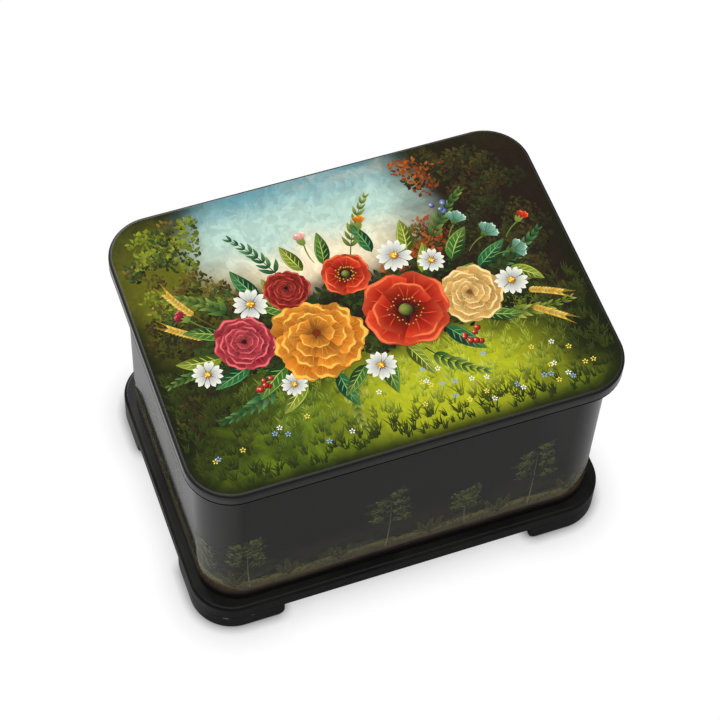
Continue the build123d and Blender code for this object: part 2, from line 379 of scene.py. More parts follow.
def meadow_colour(finish, spot, leaf_cloud):
    """Green lit in the middle, with shade at both ends."""
    grass = finish.mix(finish.between(leaf_cloud, 0.35, 0.7), MEADOW_DEEP, MEADOW)
    grass = patched(finish, spot, grass, MEADOW_LIGHT, *LIT_GRASS)
    grass = patched(finish, spot, grass, LEAF_SHADE, *SHADE_ON_RIGHT)
    return patched(finish, spot, grass, LEAF_SHADE, *SHADE_ON_LEFT)


def ground_colour(finish, outside):
    """The whole painted ground, darker towards the lid's front and ends."""
    warp = finish.vector("SUBTRACT", finish.noise(45.0, detail=4.0)[1], (0.5, 0.5, 0.5))
    place = finish.vector("ADD", finish.place, finish.vector("MULTIPLY", warp, (0.022, 0.022, 0.0)))
    spot = finish.vector("MULTIPLY", place, (1 / LID_HALF.x, 1 / LID_HALF.y, 0.0))
    depth = finish.parts(spot)[1]
    leaf_cloud = finish.noise(70.0, place, detail=5.0, roughness=0.65)[0]
    colour = finish.mix(finish.between(leaf_cloud, 0.38, 0.68), LEAF_SHADE, LEAF_DEEP)
    colour = patched(finish, spot, colour, LEAF_LIT, *LIT_LEAVES)
    colour = patched(finish, spot, colour, SHADE_BROWN, *DIM_CORNER)
    colour = patched(finish, spot, colour, sky_colour(finish, place, depth), *PALE_GLOW)
    colour = patched(finish, spot, colour, SHADE_BROWN, *BEHIND_BUNCH)
    foreground = finish.between(depth, -0.22, -0.48)
    colour = finish.mix(foreground, colour, meadow_colour(finish, spot, leaf_cloud))
    border = finish.between(outside, -8 * MM, -1.2 * MM)
    border_strength = finish.scaled(finish.between(depth, 0.5, 0.0), 0.0, 1.0, 0.1, 0.9)
    colour = finish.mix(finish.math("MULTIPLY", border, border_strength), colour, LEAF_SHADE)
    brush = finish.noise(420.0, finish.turned(place, (1.0, 0.35, 1.0), 0.6), detail=4.0, roughness=0.6)[0]
    spots = finish.node("TexVoronoi", {"Vector": place, "Scale": 520.0}, feature="F1")
    colour = finish.tinted(colour, brush, 0.72, 1.26)
    return finish.tinted(colour, finish.parts(spots.outputs["Color"])[0], 0.9, 1.1)


def painted_lid():
    """The lid's lacquered top: a painted ground within a thin black edge."""
    finish = Finish("painted_ground_under_lacquer")
    outside = rounded_edge(finish, LID_HALF, LID_CORNER)
    colour = ground_colour(finish, outside)
    edge_wave = finish.math("MULTIPLY", finish.noise(300.0, detail=2.0)[0], 0.16 * MM)
    within_edge = finish.math("LESS_THAN", finish.math("ADD", outside, edge_wave), -BLACK_EDGE + 0.08 * MM)
    height = finish.parts(finish.place)[2]
    on_top = finish.math("GREATER_THAN", height, LID_TOP - 0.2 * MM)
    painted = finish.math("MULTIPLY", within_edge, on_top)
    finish.set(Base_Color=finish.mix(painted, LACQUER_BLACK, colour))
    near_top = finish.between(height, LID_TOP - 1.1 * MM, LID_TOP - 0.7 * MM)
    near_edge = finish.between(outside, -BLACK_EDGE - 0.3 * MM, -BLACK_EDGE)
    arris = finish.math("MULTIPLY", near_edge, near_top)
    polish(finish, finish.scaled(arris, 0.0, 1.0, POLISHED, DULL_ARRIS))
    return finish.material


def stroke_paint():
    """Paint of each stroke's own colour, with the streaks of the brush along it."""
    finish = Finish("brush_strokes_under_lacquer")
    colour = finish.node("Attribute", attribute_name="paint").outputs["Color"]
    stroke = finish.node("Attribute", attribute_name="stroke").outputs["Vector"]
    streak = finish.noise(1.0, finish.vector("MULTIPLY", stroke, STREAK_SCALE), detail=4.0, roughness=0.6)[0]
    finish.set(Base_Color=finish.tinted(colour, streak, 0.62, 1.38))
    polish(finish)
    return finish.material


class Sheet:
    """Strokes of one kind of brush, cut from one ruled sheet, each laid where its own formula says."""

    def __init__(self, name, along, across, surface):
        self.name, self.along, self.across, self.surface = name, along, across, surface
        self.strokes = []

    def add(self, shape, colour, level):
        """A stroke whose place on the surface and colour are formulas of t and s.

        t runs along it from 0 to 1 and s across it from -1 to 1.
        """
        self.strokes.append((shape, colour, level))

    def make(self, paint, body, slot):
        rows = len(self.strokes) * self.across
        mesh = bmesh.new()
        bmesh.ops.create_grid(mesh, x_segments=self.along, y_segments=rows, size=1)

        def row_of(point):
            return (point.y + 1) / 2 * rows

        def is_cut(edge):
            low, high = (row_of(vert.co) for vert in edge.verts)
            return abs(low - high) < 0.5 and round(low) % self.across == 0 and not edge.is_boundary

        bmesh.ops.split_edges(mesh, edges=[edge for edge in mesh.edges if is_cut(edge)])
        paint_layer = mesh.verts.layers.float_color.new("paint")
        stroke_layer = mesh.verts.layers.float_vector.new("stroke")
        places = []
        for vert in mesh.verts:
            own = int(row_of(vert.link_faces[0].calc_center_median()) // self.across)
            shape, colour, level = self.strokes[own]
            t = min(max((vert.co.x + 1) / 2, 0.0), 1.0)
            s = min(max(2 * (row_of(vert.co) / self.across - own) - 1, -1.0), 1.0)
            vert[paint_layer] = (*colour(t, s), 1.0)
            vert[stroke_layer] = (t, s, own * 0.37)
            places.append(self.surface(*shape(t, s), FIRST_COAT + level * COAT_STEP))
        for vert, place in zip(mesh.verts, places):
            vert.co = place
        mesh.normal_update()
        data = mesh_data(self.name, mesh)
        data.materials.append(paint)
        piece = placed(self.name, data)
        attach(piece, body)


def on_lid(x, y, lift):
    """A place on the lid, in millimetres from its middle."""
    return Vector((x * MM, y * MM, LID_TOP + lift))


def way_round(half, corner):
    """The way round an upright part with rounded corners."""
    return 4 * (half.x + half.y) - (8 - math.tau) * corner


def place_round(middle, half, corner, u, lift):
    """A place on such a part's outside, u round it from the left end of its straight front.

    Round a corner it stands off a little, so that a stroke's flat faces clear the curve.
    """
    inner = half - Vector((corner, corner))
    centres = [Vector((inner.x * x, inner.y * y)) for x, y in ((-1, -1), (1, -1), (1, 1), (-1, 1))]
    quarter = corner * math.pi / 2
    rest = u % way_round(half, corner)
    for side in range(4):
        straight = 2 * inner[side % 2]
        if rest <= straight + quarter:
            break
        rest -= straight + quarter
    turn = side * math.pi / 2
    bend = max(rest - straight, 0.0) / corner
    ahead = Vector((math.cos(turn), math.sin(turn)))
    out = Vector((math.sin(turn + bend), -math.cos(turn + bend)))
    coat = CORNER_COAT if bend > 0 else FLAT_COAT
    return middle + centres[side] + ahead * min(rest, straight) + out * (corner + coat + lift)


def on_wall(u, z, lift):
    """A place on the wall, z millimetres up and u to the right of the front's middle, all the way round."""
    start = WALL_HALF.x - WALL_CORNER
    place = place_round(WALL_MIDDLE, WALL_HALF, WALL_CORNER, u * MM + start, WALL_THIN * lift)
    return Vector((place.x, place.y, WALL_LOW.z + z * MM))


def on_rim(u, v, lift):
    """A place on the lid's rim, v millimetres above its rounded lower edge, or under 0 round that edge."""
    bend = max(-v * MM, 0.0) / RIM_ARRIS
    reach = RIM_ARRIS + CORNER_COAT + lift
    place = place_round(Vector((0, 0)), LID_HALF, LID_CORNER, u * MM, reach * math.cos(bend) - RIM_ARRIS)
    drop = reach * math.sin(bend)
    return Vector((place.x, place.y, RIM_LOW + RIM_ARRIS + max(v, 0.0) * MM - drop))


def away(x, y, reach, turn):
    """The place this far from another, at an angle."""
    return x + reach * math.cos(turn), y + reach * math.sin(turn)


def arc(x, y, length, turn, bend=0.0):
    """A line from a place, this long, that sets off at an angle and turns by the bend on its way."""

    def line(t):
        here = turn + bend * t
        if abs(bend) < 0.001:
            return *away(x, y, length * t, turn), here
        radius = length / bend
        off_x = radius * (math.sin(here) - math.sin(turn))
        off_y = radius * (math.cos(here) - math.cos(turn))
        return x + off_x, y - off_y, here

    return line


def ribbon(line, width, profile):
    """A stroke along a line, its width shared out along it by the profile."""

    def shape(t, s):
        x, y, turn = line(t)
        off = width / 2 * (0.04 + 0.96 * profile(t)) * s
        return x - off * math.sin(turn), y + off * math.cos(turn)

    return shape


def leaf_form(t):
    return math.sin(math.pi * t**0.75) ** 0.85


def blade_form(t):
    return (1 - t) ** 0.7 * min(1.0, 0.5 + 3 * t)


def drop_form(t):
    return math.sin(math.pi * t**1.7) ** 0.6


def stem_form(t):
    return 1 - 0.6 * t


def fan(x, y, start, reach, turn, spread, wave):
    """A petal: narrow at its root, with a rounded and slightly wavy rim."""

    def shape(t, s):
        rim = reach * (1 - 0.15 * s * s + 0.04 * math.sin(3 * math.pi * s + wave))
        out = start + (rim - start) * t
        angle = turn + spread / 2 * s * (0.3 + 0.7 * math.sin(math.pi / 2 * t))
        return away(x, y, out, angle)

    return shape


def disc(x, y, radius):
    """A round spot."""

    def shape(t, s):
        a = 2 * t - 1
        return x + radius * a * math.sqrt(1 - s * s / 2), y + radius * s * math.sqrt(1 - a * a / 2)

    return shape


def traced(shape, start, end, width):
    """A thin touch on a larger stroke, between two places given in that stroke's own t and s."""
    along = (end[0] - start[0], end[1] - start[1])
    length = math.hypot(*along)

    def touch(t, s):
        off = width / 2 * (0.05 + math.sin(math.pi * t)) * s / length
        return shape(start[0] + along[0] * t - along[1] * off, start[1] + along[1] * t + along[0] * off)

    return touch


def plain(colour):
    return lambda t, s: colour


def shaded(root, tip):
    return lambda t, s: blend(root, tip, t)


def halved(low_side, high_side, tip):
    """Two halves of a leaf, one in light and one in shade, with a lighter tip."""

    def colour(t, s):
        side = blend(low_side, high_side, 0.5 + 0.5 * max(-1.0, min(1.0, 3 * s)))
        return blend(side, tip, max(0.0, t - 0.5) * 0.9)

    return colour


def petal_tones(root, body, rim, light):
    """Dark at the root, the flower's own colour on the petal and a lighter rim."""

    def colour(t, s):
        tone = blend(root, body, min(1.0, max(0.0, (t - 0.2) / 0.65)))
        tone = blend(tone, rim, 0.5 * max(0.0, (t - 0.8) / 0.2) * (1 - 0.6 * s * s))
        shade = light * (1.0 - 0.28 * s)
        return tuple(c * shade for c in tone)

    return colour


def rounded(middle, edge):
    """The colours of a small ball lit from above on the left."""

    def colour(t, s):
        a = 2 * t - 1
        return blend(middle, edge, min(1.0, math.hypot(a + 0.35, s - 0.4) / 1.3))

    return colour


GOLDEN_SHARE = 0.618034
BUSH_LEVELS = 8
STAMENS = 26
DAISY_PETALS = 13
DAISY_SPECKS = 7
# Each ring's count of petals, their reach and their spread
PEONY_FOLDS = ((8, 1.0, 1.0), (7, 0.8, 1.1), (6, 0.6, 1.25), (5, 0.4, 1.6))
ROSE_FOLDS = ((6, 1.0, 1.5), (5, 0.8, 1.75), (5, 0.6, 1.8), (4, 0.43, 2.1), (3, 0.27, 2.6))
# Each kind of stroke, with how many rows its sheet has along it and across it
BRUSHES = {
    "dabs": (3, 2), "blades": (5, 2), "stems": (10, 2), "leaves": (10, 6),
    "petals_left": (7, 12), "petals_right": (7, 12), "hearts": (4, 4), "touches": (6, 2),
}


class Painting:
    """The sheets of strokes on one part of the box, and the motifs painted with them."""

    def __init__(self, name, surface):
        self.sheets = {kind: Sheet(f"{name}_{kind}", *grid, surface) for kind, grid in BRUSHES.items()}
        self.shares_given = 0

    def make(self, paint, body, slot):
        for sheet in self.sheets.values():
            if sheet.strokes:
                sheet.make(paint, body, slot)

    def add(self, kind, shape, colour, level):
        self.sheets[kind].add(shape, colour, level)

    def spot(self, x, y, radius, colour, level):
        self.add("hearts", disc(x, y, radius), colour, level)

    def next_share(self):
        """A share from 0 to 1, unlike the last few, so that near strokes never lie at one height."""
        self.shares_given += 1
        return self.shares_given * GOLDEN_SHARE % 1

    def dab(self, x, y, length, width, turn, colour, level, form=leaf_form):
        self.add("dabs", ribbon(arc(x, y, length, turn, 0.3), width, form), colour, level)

    def stem(self, line, width, colour, level):
        self.add("stems", ribbon(line, width, stem_form), colour, level)

    def touch(self, shape, start, end, width, colour, level):
        self.add("touches", traced(shape, start, end, width), colour, level)

    def petal(self, x, y, start, reach, turn, spread, tones, level):
        """A petal with streaks of light along it and a touch of the rim's colour."""
        root, body, rim = tones
        shape = fan(x, y, start, reach, turn, spread, hand.uniform(0, 6))
        side = "petals_left" if x < 0 else "petals_right"
        self.add(side, shape, petal_tones(root, body, rim, hand.uniform(0.68, 0.95)), level)
        light, dark = plain(blend(body, rim, 0.25)), plain(blend(body, root, 0.7))
        for s in (-0.55, -0.1, 0.4):
            s += hand.uniform(-0.12, 0.12)
            self.touch(shape, (0.3, s * 0.8), (0.9, s), 0.05, light, level + 0.4)
            self.touch(shape, (0.1, s + 0.2), (0.6, s + 0.25), 0.05, dark, level + 0.3)
        edge_start, edge_end = hand.uniform(-0.9, -0.6), hand.uniform(0.0, 0.6)
        self.touch(shape, (0.95, edge_start), (0.95, edge_end), 0.08, plain(rim), level + 0.5)

    def ring(self, x, y, start, reach, count, spread, tones, level, turn):
        """Petals all round one middle."""
        for k in range(count):
            angle = turn + k * math.tau / count + hand.uniform(-0.1, 0.1)
            self.petal(x, y, start, reach * hand.uniform(0.92, 1.06), angle, spread, tones, level + k)

    def folded(self, x, y, r, tones, level, folds, habit):
        """Rings of petals, each smaller than the last, lighter, turned and set a little higher."""
        root, rise, glow, step_level, step_turn = habit
        for step, (count, reach, spread) in enumerate(folds):
            lighter = tuple(blend(tone, tones[2], glow * step) for tone in tones)
            lift, above, turn = rise * r * step, level + step_level * step, step_turn * step
            self.ring(x, y + lift, r * root, r * reach, count, spread, lighter, above, turn)

    def peony(self, x, y, r, tones, level):
        self.folded(x, y, r, tones, level, PEONY_FOLDS, (0.05, 0.05, 0.05, 8, 0.4))
        self.spot(x, y + 0.15 * r, r * 0.09, plain(tones[0]), level + 31)

    def rose(self, x, y, r, tones, level):
        self.folded(x, y, r, tones, level, ROSE_FOLDS, (0.04, 0.02, 0.06, 6, 0.55))
        self.spot(x, y + 0.08 * r, r * 0.08, plain(tones[0]), level + 30)

    def poppy(self, x, y, r, tones, level):
        """Seven wide petals round a green pod with dark stamens and yellow tips."""
        self.ring(x, y, r * 0.05, r, 4, 1.95, tones, level, 0.6)
        self.ring(x, y, r * 0.05, r * 0.78, 3, 2.1, tones, level + 4, 1.2)
        self.spot(x, y, r * 0.16, rounded(*POD), level + 12)
        for k in range(STAMENS):
            turn = k * math.tau / STAMENS + hand.uniform(-0.08, 0.08)
            reach = r * hand.uniform(0.26, 0.4)
            line = arc(*away(x, y, r * 0.13, turn), reach - r * 0.13, turn)
            self.add("touches", ribbon(line, 0.24, stem_form), plain(STAMEN_DARK), level + 9)
            self.spot(*away(x, y, reach, turn), 0.34, rounded(*POLLEN), level + 10 + k % 4 * 0.2)

    def daisy(self, x, y, r, level):
        """White petals round a yellow heart with pale specks."""
        colour = shaded(blend(DAISY_WHITE, DAISY_SHADE, 0.75), DAISY_WHITE)
        start = r * 0.16
        for k in range(DAISY_PETALS):
            turn = k * math.tau / DAISY_PETALS + hand.uniform(-0.07, 0.07)
            line = arc(*away(x, y, start, turn), r * hand.uniform(0.76, 0.88), turn)
            self.add("blades", ribbon(line, r * 0.34, drop_form), colour, level + k % 3 + 0.06 * k)
        self.spot(x, y, r * 0.25, rounded(*DAISY_HEART), level + 4)
        for k in range(DAISY_SPECKS):
            turn = hand.uniform(0, math.tau)
            reach = r * 0.19 * hand.random()
            self.spot(*away(x, y, reach, turn), r * 0.045, plain(SPECK_YELLOW), level + 5 + 0.1 * k)

    def bell(self, x, y, r, turn, tones, level):
        """A small flower seen from the side, with its stalk and calyx."""
        self.stem(arc(x, y, r * 1.5, turn + math.pi - 0.3, 0.6), 0.6, plain(STALK_GREEN), level)
        for k, side in enumerate((-0.5, 0.5, 0.0)):
            reach = r * (1.25 if side == 0 else 1.15)
            self.petal(x, y, r * 0.08, reach, turn + side, 0.72, tones, level + 1 + k)
        calyx = shaded(LEAF_DEEP, STALK_GREEN)
        for side in (-0.5, 0.0, 0.5):
            self.dab(x, y, r * 0.42, r * 0.2, turn + side, calyx, level + 5 + side)

    def bud(self, x, y, r, turn, tones, level):
        """A bud about to open, held by its green sepals."""
        self.stem(arc(x, y, r * 2.0, turn + math.pi - 0.25, 0.5), 0.6, plain(STALK_GREEN), level)
        self.petal(x, y, 0.05, r * 1.5, turn - 0.16, 0.7, tones, level + 1)
        self.petal(x, y, 0.05, r * 1.4, turn + 0.18, 0.6, tones, level + 2)
        sepal = shaded(STALK_GREEN, SEPAL_GREEN)
        for side in (-0.42, 0.42, 0.0):
            self.dab(x, y, r * 0.85, r * 0.32, turn + side, sepal, level + 3 + side)

    def leaf(self, x, y, length, turn, bend, tones, level):
        """A leaf in two halves, with its midrib, side veins and a light edge."""
        low, high, vein = tones
        shape = ribbon(arc(x, y, length, turn, bend), length * hand.uniform(0.34, 0.44), leaf_form)
        self.add("leaves", shape, halved(low, high, blend(high, vein, 0.4)), level)
        self.touch(shape, (0.0, 0.0), (0.97, 0.0), 0.13, plain(vein), level + 0.5)
        side_vein = plain(blend(high, vein, 0.55))
        for t in (0.16, 0.32, 0.48, 0.64):
            for side in (-0.8, 0.8):
                self.touch(shape, (t, 0.0), (t + 0.17, side), 0.035, side_vein, level + 0.4)
        self.touch(shape, (0.15, 0.9), (0.9, 0.82), 0.09, plain(blend(high, vein, 0.75)), level + 0.45)

    def sprig(self, x, y, length, turn, bend, pairs, leaf_length, tones, level):
        """A stalk with pointed leaflets on both sides, smaller towards its tip."""
        line = arc(x, y, length, turn, bend)
        self.stem(line, 0.45, shaded(tones[0], tones[1]), level)
        for k in range(pairs):
            t = 0.18 + 0.82 * k / (pairs - 1)
            foot_x, foot_y, here = line(t)
            size = leaf_length * (1 - 0.5 * t) * hand.uniform(0.85, 1.15)
            for side in (-1, 1):
                lean = here + side * hand.uniform(0.7, 1.05) * (1 - 0.4 * t)
                colour = shaded(tones[0], blend(tones[1], tones[2], 0.7 * hand.random()))
                leaflet = ribbon(arc(foot_x, foot_y, size, lean, -0.4 * side), size * 0.3, leaf_form)
                self.add("blades", leaflet, colour, level + 0.5 + (2 * k + (side > 0)) % 5 * 0.6)

    def wheat(self, x, y, length, turn, bend, level):
        """An ear of ripe corn: a stalk, plump grains in pairs and long awns."""
        line = arc(x, y, length, turn, bend)
        straw, gold, pale = CORN
        self.stem(line, 0.5, shaded(LEAF_DEEP, straw), level)
        for k in range(10):
            t = 0.5 + 0.05 * k
            foot_x, foot_y, here = line(t)
            for side in (-1, 1):
                lean = here + side * 0.5
                awn = arc(foot_x, foot_y, 6.5, lean - side * 0.2, -0.15 * side)
                self.add("touches", ribbon(awn, 0.2, stem_form), plain(blend(straw, gold, 0.6)), level + 1)
                colour = shaded(straw, blend(gold, pale, hand.random()))
                lift = k % 4 * 0.5 + (0.25 if side > 0 else 0.0)
                self.dab(foot_x, foot_y, 2.7, 1.25, lean, colour, level + 2 + lift)

    def berries(self, x, y, spread, count, tones, level):
        """Round berries close together, each with a glint."""
        dark, light = tones
        for k in range(count):
            spot_x, spot_y = x + hand.uniform(-spread, spread), y + hand.uniform(-spread, spread)
            self.spot(spot_x, spot_y, hand.uniform(1.0, 1.4), rounded(light, dark), level + k)
            self.spot(spot_x - 0.4, spot_y + 0.45, 0.26, plain(blend(light, WHITE, 0.6)), level + k + 0.5)

    def tuft(self, x, y, height, count, colours, level):
        """Blades of grass from one root."""
        for k in range(count):
            turn = math.pi / 2 + hand.uniform(-0.6, 0.6)
            foot_x, length = x + hand.uniform(-0.9, 0.9), height * hand.uniform(0.6, 1.15)
            line = arc(foot_x, y, length, turn, hand.uniform(-0.8, 0.8))
            tip = blend(colours[1], colours[2], hand.random())
            blade = ribbon(line, hand.uniform(0.4, 0.75), blade_form)
            self.add("blades", blade, shaded(colours[0], tip), level + k + self.next_share())

    def bush(self, x, y, size, count, colours, level, leaf=1.9):
        """A cloud of leaf dabs, lighter above on the left and darker below on the right."""
        step = BUSH_LEVELS / count
        clear = step * self.next_share()
        dabs = []
        for _ in range(count):
            turn = hand.uniform(0, math.tau)
            reach = size * math.sqrt(hand.random())
            off_x, off_y = reach * math.cos(turn), reach * math.sin(turn) * 0.8
            light = 0.42 + 0.4 * (0.8 * off_y - 0.5 * off_x) / size + hand.uniform(-0.28, 0.28)
            tone = blend(colours[0], colours[1], min(1.0, max(0.0, light * 1.6)))
            tone = blend(tone, colours[2], max(0.0, light - 0.6))
            length = leaf * hand.uniform(0.6, 1.3)
            lean = hand.uniform(0.2, 2.9)
            order = 5 * light + 3 * hand.random()
            dabs.append((order, x + off_x, y + off_y, length, lean, tone))
        for k, (_, dab_x, dab_y, length, lean, tone) in enumerate(sorted(dabs)):
            self.dab(dab_x, dab_y, length, length * 0.55, lean, plain(tone), level + step * k + clear)


WHITE = (0.86, 0.85, 0.80)
STALK_GREEN = srgb(96, 118, 48)
SEPAL_GREEN = srgb(120, 142, 60)
STAMEN_DARK = srgb(24, 16, 20)
POD = shades((150, 160, 70), (50, 60, 24))
POLLEN = shades((226, 190, 80), (120, 84, 30))
DAISY_WHITE = srgb(238, 236, 222)
DAISY_SHADE = srgb(96, 112, 120)
DAISY_HEART = shades((236, 182, 40), (150, 84, 18))
SPECK_YELLOW = srgb(250, 226, 120)
CORN = shades((150, 112, 34), (222, 172, 54), (250, 222, 120))
RED_BERRY = shades((90, 8, 8), (230, 70, 50))
BLUE_BERRY = shades((30, 40, 80), (140, 160, 200))
MEADOW_FLOWERS = WHITE, srgb(240, 214, 90), srgb(140, 170, 214)

GOLD = shades((112, 44, 8), (204, 112, 20), (240, 186, 78))
SCARLET = shades((84, 10, 8), (190, 42, 20), (232, 112, 66))
CRIMSON = shades((58, 8, 16), (142, 20, 38), (222, 104, 108))
WINE = shades((40, 6, 8), (112, 16, 18), (190, 72, 56))
SAND = shades((122, 66, 22), (204, 152, 70), (240, 214, 150))
PALE_GREEN = shades((40, 92, 72), (116, 166, 138), (196, 220, 200))
ROSE_LIGHT = shades((140, 60, 60), (222, 160, 146), (246, 226, 210))

LEAF_TONES = (
    shades((26, 58, 26), (58, 104, 38), (166, 186, 92)),
    shades((16, 54, 34), (34, 96, 52), (126, 172, 104)),
    shades((58, 74, 18), (112, 132, 36), (206, 206, 104)),
)
TREE_TONES = (
    shades((20, 24, 10), (66, 78, 26), (150, 156, 62)),
    shades((22, 28, 12), (50, 70, 30), (120, 140, 60)),
    shades((32, 26, 12), (84, 74, 28), (166, 150, 70)),
)
BRIGHT_TREE = shades((44, 54, 14), (112, 124, 30), (172, 180, 60))
BUNCH_SHADE = shades((22, 22, 12), (42, 56, 22), (76, 94, 36))
GRASS_DARK = shades((58, 76, 18), (84, 112, 30), (136, 158, 62))
GRASS_LIGHT = shades((128, 144, 22), (170, 180, 34), (216, 216, 96))
AUTUMN_TREE = shades((58, 26, 12), (136, 66, 24), (204, 128, 56))

# The levels that the lid's motifs start at, from the ground up
MEADOW_LEVEL = 8
BUNCH_SHADE_LEVEL = 14
SPRIG_LEVEL = 15
CORN_LEVEL = 16
LEAF_LEVEL = 18
BERRY_LEVEL = 34
BUD_LEVEL = 36


def glow_reach(x, y):
    """How far out from the pale glow's middle a place on the lid lies: under 1 inside it."""
    return math.hypot((x + 9) / 41, (y - 40) / 34)


def inside_lid(x, y, margin):
    """Whether a place lies within the painted field, this far from its edge."""
    half_x, half_y = LID_HALF.x / MM - margin, LID_HALF.y / MM - margin
    corner = LID_CORNER / MM
    out_x, out_y = abs(x) - (half_x - corner), abs(y) - (half_y - corner)
    within_sides = abs(x) < half_x and abs(y) < half_y
    return within_sides and (out_x < 0 or out_y < 0 or math.hypot(out_x, out_y) < corner)


def paint_lid(paint):
    """The whole picture on the lid, from its ground up."""
    art = Painting("lid", on_lid)
    paint_trees(art, 190)
    paint_meadow(art, 760)
    paint_bunch_shade(art, 110)
    paint_meadow_flowers(art, 40)
    paint_sprays(art)
    paint_flowers(art)
    art.make(paint, "lid", "painted_lacquer")


def tree_tones(x, y):
    """Some bright leaves on the left, autumn ones right of the glow, and dim ones low down and far right."""
    is_bright = x < -30 and y > 15 and hand.random() < 0.45
    tones = BRIGHT_TREE if is_bright else TREE_TONES[hand.randrange(3)]
    if x > 8 and glow_reach(x, y) < 1.3 and hand.random() < 0.6:
        return AUTUMN_TREE
    if x > 30 or y < 12:
        return tuple(blend(tone, SHADE_BROWN, 0.7) for tone in tones)
    return tones


def paint_trees(art, count):
    """Clouds of leaves all round the glow."""
    laid = 0
    while laid < count:
        x, y = hand.uniform(-76, 76), hand.uniform(-30, 57)
        size = hand.uniform(3.2, 6.0)
        behind_bunch = abs(x) < 60 and y < 4
        if behind_bunch or glow_reach(x, y) < 1.0 or not inside_lid(x, y, size + 1.8):
            continue
        laid += 1
        art.bush(x, y, size, 34, tree_tones(x, y), 0.5 * (laid % 4))


def paint_meadow(art, count):
    """Tufts of grass from the back to the front, lit near the middle and dim at the ends."""
    for k in range(count):
        x, y = hand.uniform(-77, 77), -9 - 48 * (k / count)
        behind_bunch = abs(x) < 40 and y > -24
        if behind_bunch or not inside_lid(x, y, 3.0) or not inside_lid(x, y + 4, 3.0):
            continue
        sun = max(0.0, 1 - math.hypot((x - 20) / 52, (y + 36) / 20)) + hand.uniform(-0.1, 0.25)
        share = min(1.0, max(0.0, sun * 1.4))
        tones = [blend(dark, light, share) for dark, light in zip(GRASS_DARK, GRASS_LIGHT)]
        shade = max(0.0, (abs(x - 4) - 42) / 22, (-42 - y) / 11) + (0.3 if hand.random() < 0.2 else 0.0)
        tones = [blend(tone, LEAF_SHADE, min(0.85, shade)) for tone in tones]
        art.tuft(x, y, hand.uniform(3.4, 5.6), 6, tones, MEADOW_LEVEL)


def paint_bunch_shade(art, count):
    """Dark leaves that the bunch stands out from."""
    for k in range(count):
        x = -58 + 116 * k / count
        y = -5 + hand.uniform(-1, 1) * (17 - abs(x) * 0.13)
        art.bush(x, y, 4.6, 22, BUNCH_SHADE, BUNCH_SHADE_LEVEL, 2.6)


def paint_meadow_flowers(art, count):
    """Small flowers of five petals in the grass."""
    for _ in range(count):
        x, y = hand.uniform(-70, 70), hand.uniform(-52, -32)
        colour = plain(MEADOW_FLOWERS[hand.randrange(3)])
        if not inside_lid(x, y, 5):
            continue
        for k in range(5):
            turn = k * math.tau / 5
            art.dab(*away(x, y, 0.25, turn), 0.85, 0.6, turn, colour, SPRIG_LEVEL + 1 + 0.3 * k, drop_form)


# Each sprig's root, length, turn, bend and pairs of leaflets
SPRIGS = (
    (-44, 8, 26, 2.25, 0.5, 9), (-24, 18, 25, 1.9, 0.35, 8), (2, 20, 27, 1.25, -0.4, 9),
    (30, 16, 27, 0.95, -0.3, 9), (48, 0, 24, 0.25, 0.4, 8), (44, -18, 26, -0.35, 0.5, 8),
    (-52, -10, 22, 3.0, 0.4, 8), (-38, -22, 24, 3.7, -0.4, 8), (-12, -26, 22, -2.1, 0.6, 8),
    (14, -24, 22, -1.0, 0.5, 8),
)
# Each ear of corn's root, length, turn and bend
EARS = (
    (-50, 4, 26, 2.35, -0.35), (-46, -2, 26, 2.75, -0.3),
    (46, -10, 23, -0.15, -0.35), (46, -14, 23, -0.5, -0.2),
)
# Each leaf's root, length and turn
LEAVES = (
    (-34, -16, 15, 3.6), (-30, -22, 15, 4.2), (-18, -24, 14, 4.7), (0, -22, 15, 4.5), (8, -21, 14, 5.2),
    (24, -18, 15, 5.3), (38, -16, 14, 5.7), (44, -6, 15, 0.1), (44, 2, 14, 0.6), (36, 8, 14, 1.1),
    (22, 16, 13, 1.3), (10, 20, 13, 1.7), (-8, 20, 13, 1.3), (-16, 20, 12, 2.0), (-34, 14, 14, 2.2),
    (-50, 2, 14, 2.6), (-54, -6, 15, 3.2), (-46, -12, 14, 3.5), (-26, 4, 12, 2.4), (24, 6, 12, 1.0),
    (-6, -4, 12, 4.6), (30, -2, 13, 0.4), (-30, 8, 12, 1.5), (6, 8, 11, 1.9), (-8, -24, 13, 3.9),
    (54, -2, 12, -0.4),
)


def paint_sprays(art):
    """Stalks, leaves, ears of corn and berries that run out from the bunch."""
    for k, (x, y, length, turn, bend, pairs) in enumerate(SPRIGS):
        art.sprig(x, y, length, turn, bend, pairs, 6.2, LEAF_TONES[k % 3], SPRIG_LEVEL)
    for x, y, length, turn, bend in EARS:
        art.wheat(x, y, length, turn, bend, CORN_LEVEL)
    for k, (x, y, length, turn) in enumerate(LEAVES):
        bend = hand.uniform(-0.5, 0.5)
        art.leaf(x, y, length * 1.1, turn, bend, LEAF_TONES[k * 2 % 3], LEAF_LEVEL + k * 0.6)
    art.berries(32, -25, 3.4, 7, RED_BERRY, BERRY_LEVEL)
    art.berries(-43, -21, 3.0, 6, RED_BERRY, BERRY_LEVEL)
    art.berries(40, 30, 2.6, 5, BLUE_BERRY, BERRY_LEVEL)


